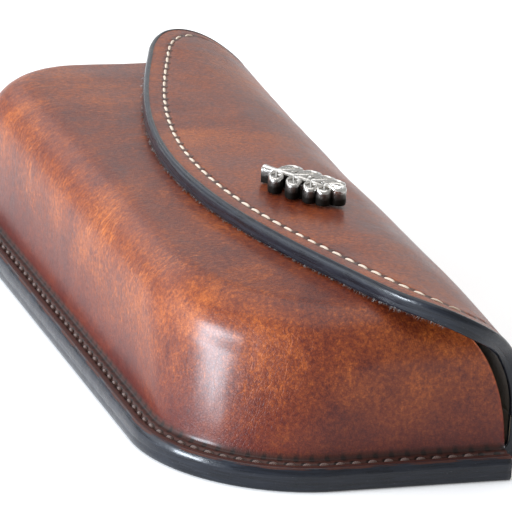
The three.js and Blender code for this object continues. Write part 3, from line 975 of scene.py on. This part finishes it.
def leather(name, tones, shade, pitch, inset, moulded):
    """Oiled, wet-formed leather: cloudy colour, drawn fibres, fine folds, a burnished flange, and painted
    shade and light on the shell.
    """
    n = Nodes(name)
    grain = n.attribute("grain")
    draw = n.attribute("draw")
    mottle = n.noise(n.stretch(grain, (1, 0.75, 1), (0, 0, 0.6)), 0.15, 5.0, 0.62, 0.8)
    pores = n.noise(grain, 3.2, 3.0, 0.6)
    tone = cloudy_tone(n, grain, draw, mottle, shade)
    if moulded:
        # painted shade low on the walls and on the top, painted light at the +X end
        tone = shell_painted_light_and_shade(n, grain, tone)
    lines = fold_lines(n, draw, fold_patches(n, grain, moulded))
    tone = n.math("ADD", tone, n.math("MULTIPLY", lines, 0.2))
    colour = n.ramp(tone, tones)
    if moulded:
        # Painted shade: the shell's walls turn a deeper, darker red towards the flange.
        red = n.math("MULTIPLY", n.spread(n.parts(grain)[2], 17.0, 6.0), 0.45)
        colour = n.mix(red, colour, (0.115, 0.012, 0.009))
    pebbles = n.cells(n.stretch(grain, (1, 0.8, 1)), 1.9)
    colour = n.mix(n.spread(pebbles, 0.10, 0.0, 0.0, 0.4), colour, (0.05, 0.010, 0.006))
    hole, groove = stitch_holes(n, pitch, inset)
    rough = n.spread(n.math("ADD", mottle, n.math("MULTIPLY", pores, 0.3)), 0.35, 0.9, 0.33, 0.5)
    if moulded:
        flange = n.spread(n.parts(grain)[2], 6.0, 4.9)
        rough = n.math("ADD", rough, n.math("MULTIPLY", flange, 0.35))
        colour = n.mix(n.math("MULTIPLY", flange, 0.82), colour, (0.036, 0.014, 0.010))
        # Painted shade along the wall's foot: dark dots and a dark line in the crease.
        marks = n.math("MULTIPLY", crease_shade(n, pitch, inset + 1.5), flange)
        colour = n.mix(n.math("MULTIPLY", marks, 0.9), colour, (0.008, 0.004, 0.003))
    # Painted shade in the stitch groove and in the holes.
    colour = n.mix(n.math("MULTIPLY", groove, 0.45), colour, (0.035, 0.013, 0.008))
    colour = n.mix(n.math("MULTIPLY", hole, 0.95 if moulded else 0.55), colour, (0.006, 0.003, 0.002))
    return n.finish(
        Base_Color=colour, Roughness=rough, Normal=leather_relief(n, draw, pores, hole, lines, pebbles),
        Coat_Weight=0.32, Coat_Roughness=0.24, Specular_IOR_Level=0.2,
    )


PAINT_TONES = [(0.3, (0.004, 0.005, 0.008)), (0.6, (0.011, 0.014, 0.022)), (0.85, (0.035, 0.036, 0.044))]
SUEDE_TONES = [(0.33, (0.09, 0.058, 0.025)), (0.5, (0.19, 0.125, 0.055)), (0.68, (0.32, 0.22, 0.11))]
SILVER_TONES = [(0.0, (0.02, 0.018, 0.016)), (0.55, (0.16, 0.15, 0.14)), (1.0, (0.66, 0.64, 0.61))]


def edge_paint():
    n = Nodes("black edge paint")
    grain = n.attribute("grain")
    streaks = n.noise(n.stretch(grain, (0.16, 2.2, 1)), 0.9, 4.0, 0.6, 0.3)
    lumps = n.noise(n.stretch(grain, (0.5, 0.8, 1)), 0.5, 3.0, 0.6)
    specks = n.spread(n.noise(grain, 2.6, 2.0, 0.6), 0.70, 0.76)
    colour = n.ramp(streaks, PAINT_TONES)
    colour = n.mix(n.math("MULTIPLY", specks, 0.35), colour, (0.35, 0.36, 0.4))
    normal = n.bump(lumps, 0.0003, None, 0.4)
    normal = n.bump(streaks, 0.0001, normal, 0.4)
    rough = n.spread(streaks, 0.3, 0.75, 0.2, 0.42)
    return n.finish(
        Base_Color=colour, Roughness=rough, Normal=normal,
        Coat_Weight=0.2, Coat_Roughness=0.12, Specular_IOR_Level=0.25,
    )


def suede():
    n = Nodes("olive suede")
    grain = n.attribute("grain")
    nap = n.noise(n.stretch(grain, (1, 0.5, 1), (0, 0, 0.4)), 1.4, 5.0, 0.7, 0.8)
    patches = n.noise(grain, 0.1, 3.0, 0.55, 0.8)
    tone = n.math("ADD", n.math("MULTIPLY", nap, 0.55), n.math("MULTIPLY", patches, 0.45))
    colour = n.ramp(tone, SUEDE_TONES)
    normal = n.bump(nap, 0.00035, None, 0.8)
    return n.finish(
        Base_Color=colour, Roughness=0.95, Normal=normal,
        Sheen_Weight=0.5, Sheen_Roughness=0.5, Specular_IOR_Level=0.2,
    )


def thread(name, dark, light):
    n = Nodes(name)
    grain = n.attribute("grain")
    along, around, _ = n.parts(grain)
    twist = n.math("ADD", n.math("MULTIPLY", along, 9.0), n.math("MULTIPLY", around, 2.0))
    ply = n.math("ABSOLUTE", n.math("SINE", twist))
    fluff = n.noise(grain, 5.0, 3.0, 0.6)
    tone = n.math("ADD", n.math("MULTIPLY", ply, 0.6), n.math("MULTIPLY", fluff, 0.4))
    colour = n.ramp(tone, [(0.15, dark), (0.6, light)])
    normal = n.bump(ply, 0.00016, None, 0.8)
    return n.finish(Base_Color=colour, Roughness=0.62, Normal=normal, Sheen_Weight=0.2)


def fibre():
    n = Nodes("loose fibre")
    tone = n.noise(n.attribute("grain"), 0.8, 3.0)
    colour = n.ramp(tone, [(0.35, (0.05, 0.045, 0.04)), (0.55, (0.2, 0.19, 0.18)), (0.7, (0.5, 0.49, 0.48))])
    return n.finish(Base_Color=colour, Roughness=0.9)


def aged_silver():
    n = Nodes("aged silver")
    grain = n.attribute("grain")
    height = n.attribute("height", "Fac")
    tarnish = n.noise(grain, 1.1, 4.0, 0.65, 0.4)
    # Darker low down: partly tarnish in the sprig's hollows, partly painted shade near the flap.
    level = n.math("ADD", height, n.math("MULTIPLY", n.math("SUBTRACT", tarnish, 0.5), 0.45))
    bright = n.spread(level, 0.35, 0.92)
    colour = n.ramp(bright, SILVER_TONES)
    normal = n.bump(n.noise(grain, 2.4, 3.0, 0.6), 0.00012, None, 0.5)
    rough = n.spread(bright, 0.0, 1.0, 0.6, 0.17)
    return n.finish(Base_Color=colour, Roughness=rough, Normal=normal, Metallic=1.0)


def steel():
    n = Nodes("clasp steel")
    place = n.add("TexCoord").outputs["Object"]
    rings = n.noise(n.stretch(place, (900, 900, 200)), 1.0, 3.0, 0.6)
    colour = n.ramp(rings, [(0.3, (0.38, 0.38, 0.39)), (0.7, (0.62, 0.62, 0.63))])
    rough = n.spread(rings, 0.3, 0.7, 0.28, 0.42)
    return n.finish(Base_Color=colour, Roughness=rough, Metallic=1.0)


MATERIALS = {
    "shell_leather": leather("shell leather", LEATHER_TONES, 0.51, FLANGE_PITCH, FLANGE_STITCH_INSET, True),
    # This copy of the same leather, used on the flap, back and spine, has a higher base tone than the
    # shell's: painted light for the flap's paler, lit look.
    "flap_leather": leather("flap leather with painted light", LEATHER_TONES, 0.54, FLAP_PITCH, FLAP_STITCH_INSET, False),
    "edge_paint": edge_paint(),
    "suede": suede(),
    "cream_thread": thread("cream thread", (0.42, 0.30, 0.21), (0.86, 0.70, 0.55)),
    "brown_thread": thread("brown thread", (0.035, 0.018, 0.014), (0.13, 0.072, 0.054)),
    "fibre": fibre(),
    "aged_silver": aged_silver(),
    "steel": steel(),
}

# ---- the object ----
shell_leather()
shell_lining()
flap_leather()
flap_lining()
panel("back_leather_panel", 0.0, LEATHER, 0.05, "flap_leather", ("back_leather",))
panel("back_suede_panel", LEATHER + 0.04, SKIN, 0.25, "suede", ("back_lining",))
lower_strip("spine_leather_strip", 0.0, LEATHER, "flap_leather", ("spine_leather",))
lower_strip("spine_suede_strip", LEATHER + 0.04, SKIN, "suede", ("spine_lining",))
flap_paint()
base_paint()
spine_paint(-1, "spine_edge_paint_left")
spine_paint(1, "spine_edge_paint_right")
flap_stitches()
flange_stitches()
flap_fuzz()
ornament()
keeper_disc()
for node in ("flap_magnet_ring", "ornament_screw"):
    frame["nodes"][node].data.materials.clear()
    frame["nodes"][node].data.materials.append(MATERIALS["steel"])


# ---- floor, light and camera ----
def floor():
    n = Nodes("pale floor")
    tone = n.noise(n.add("TexCoord").outputs["Object"], 30.0, 2.0)
    colour = n.ramp(tone, [(0.3, (0.90, 0.90, 0.90)), (0.7, (0.93, 0.93, 0.93))])
    material = n.finish(Base_Color=colour, Roughness=0.9, Emission_Color=(1, 1, 1, 1), Emission_Strength=0.16)
    side = 4000
    corners = [(-side, -side, 0), (side, -side, 0), (side, side, 0), (-side, side, 0)]
    obj = new_object("floor", corners, [(0, 1, 2, 3)])
    obj.location.z = -0.00002
    obj.data.materials.append(material)


def softbox(name, way, distance, size, power, colour=(1, 1, 1)):
    """A square area light that looks at the middle of the case from a direction."""
    light = bpy.data.lights.new(name, "AREA")
    light.shape = "RECTANGLE"
    light.size, light.size_y = size
    light.energy = power
    light.color = colour
    obj = bpy.data.objects.new(name, light)
    bpy.context.scene.collection.objects.link(obj)
    way = Vector(way).normalized()
    obj.location = way * distance + Vector((0, 0, 0.015))
    obj.rotation_euler = way.to_track_quat("Z", "Y").to_euler()


def world(strength):
    scene_world = bpy.data.worlds.new("studio")
    scene_world.use_nodes = True
    background = scene_world.node_tree.nodes["Background"]
    background.inputs["Color"].default_value = (1, 1, 1, 1)
    background.inputs["Strength"].default_value = strength
    bpy.context.scene.world = scene_world


def camera():
    data = bpy.data.cameras.new("camera")
    data.lens = 361.14
    data.sensor_width = 36
    data.clip_start = 0.05
    data.clip_end = 20
    obj = bpy.data.objects.new("camera", data)
    obj.location = (0.8677, -0.3099, 0.3444)
    obj.rotation_euler = Euler([math.radians(a) for a in (70.2785, -3.9116, 71.3117)], "XYZ")
    bpy.context.scene.collection.objects.link(obj)
    bpy.context.scene.camera = obj


floor()
world(0.53)
softbox("window", (0.12, -0.97, 0.23), 0.9, (0.34, 0.16), 11.5, (0.82, 0.9, 1.0))
softbox("left", (-0.4, -0.9, 0.36), 1.0, (0.6, 0.5), 2.2, (0.9, 0.95, 1.0))
softbox("back_left", (-0.85, -0.4, 0.5), 1.1, (0.8, 0.45), 1.6, (0.92, 0.96, 1.0))
softbox("back", (-0.9, 0.36, 0.3), 1.2, (1.0, 0.5), 0.75, (0.95, 0.98, 1.0))
softbox("overhead", (-0.15, -0.1, 1.0), 1.2, (1.2, 1.2), 7.5)
camera()
bpy.context.scene.view_settings.view_transform = "Standard"
